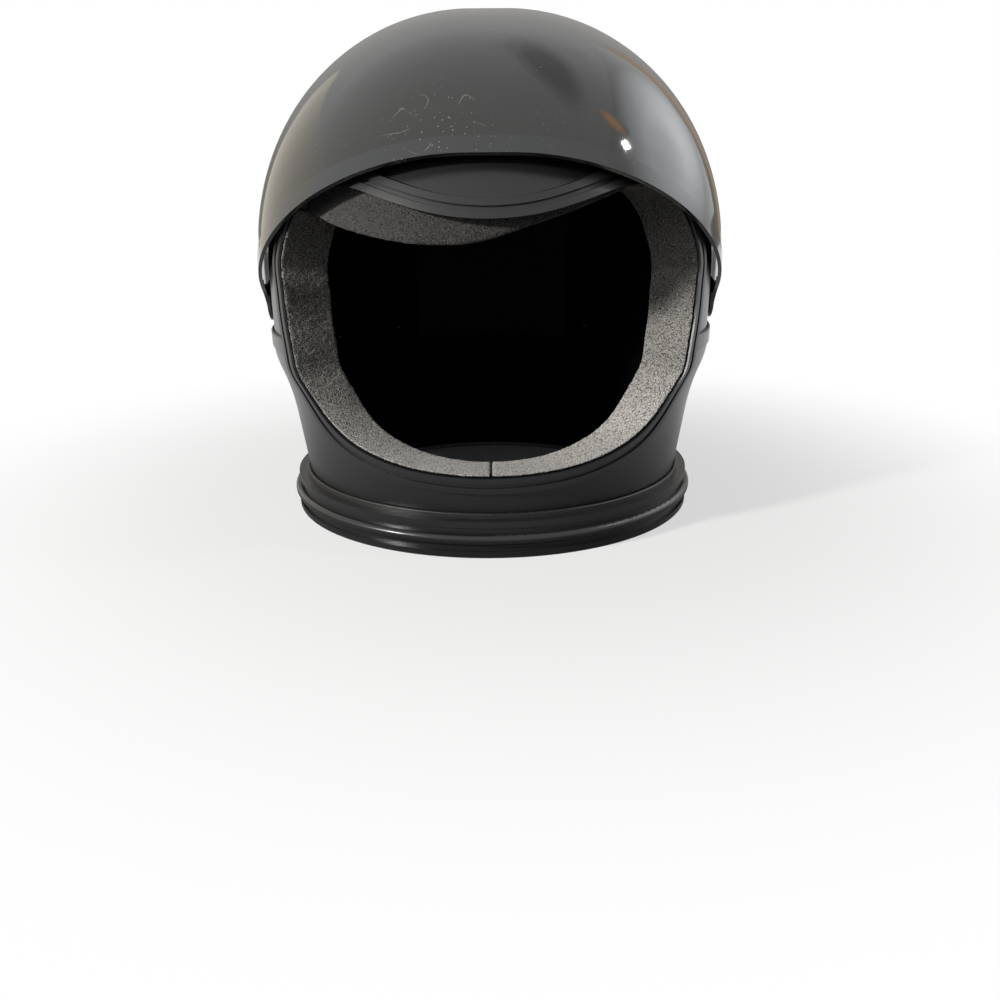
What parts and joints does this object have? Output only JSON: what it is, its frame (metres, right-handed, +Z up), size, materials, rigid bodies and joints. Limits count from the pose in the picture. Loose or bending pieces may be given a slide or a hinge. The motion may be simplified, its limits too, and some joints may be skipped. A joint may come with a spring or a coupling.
{
  "type": "astronaut helmet",
  "caption": "Costume astronaut helmet with a round two-part shell, stepped neck ring, foam-lined face opening and a smoked visor that swings up over the dome.",
  "frame": {"origin": "middle of the neck opening, on the plane that the base rests on", "axes": "+Z up, -Y towards the face opening, +X to the wearer's left, along the visor's pivot axis"},
  "size_m": [0.295, 0.2838, 0.2979],
  "materials": {
    "black_shell": "satin black injection-moulded plastic",
    "black_rim": "satin black moulded rim",
    "black_ring": "semi-gloss black moulded ring",
    "black_seal": "soft black bead",
    "smoked_visor": "glossy dark smoked plastic",
    "grey_foam": "open-cell charcoal foam",
    "black_foam": "open-cell black foam",
    "zinc_steel": "zinc-plated steel",
    "black_steel": "black-oxide steel",
    "black_nylon": "black nylon"
  },
  "bodies": {
    "helmet": {"upper_shell": "black_shell", "lower_shell": "black_shell", "face_rim_upper": "black_rim", "face_rim_lower": "black_rim", "neck_ring": "black_ring", "neck_seal": "black_seal", "pivot_screw_left": "black_nylon", "pivot_screw_right": "black_nylon", "friction_washer_left": "black_nylon", "friction_washer_right": "black_nylon", "backing_washer_left": "zinc_steel", "backing_washer_right": "zinc_steel", "pivot_nut_left": "zinc_steel", "pivot_nut_right": "zinc_steel", "cheek_foam_left": "grey_foam", "cheek_foam_right": "grey_foam", "brow_foam": "grey_foam", "crown_foam": "black_foam", "rear_foam": "black_foam", "ring_screws": "zinc_steel", "seam_screws": "black_steel"},
    "visor": {"visor": "smoked_visor"}
  },
  "joints": [
    {"name": "visor_hinge", "type": "hinge", "parent": "helmet", "child": "visor", "pos_m": [0, 0, 0.132], "axis": [1, 0, 0], "range_deg": [0, 65]}
  ]
}
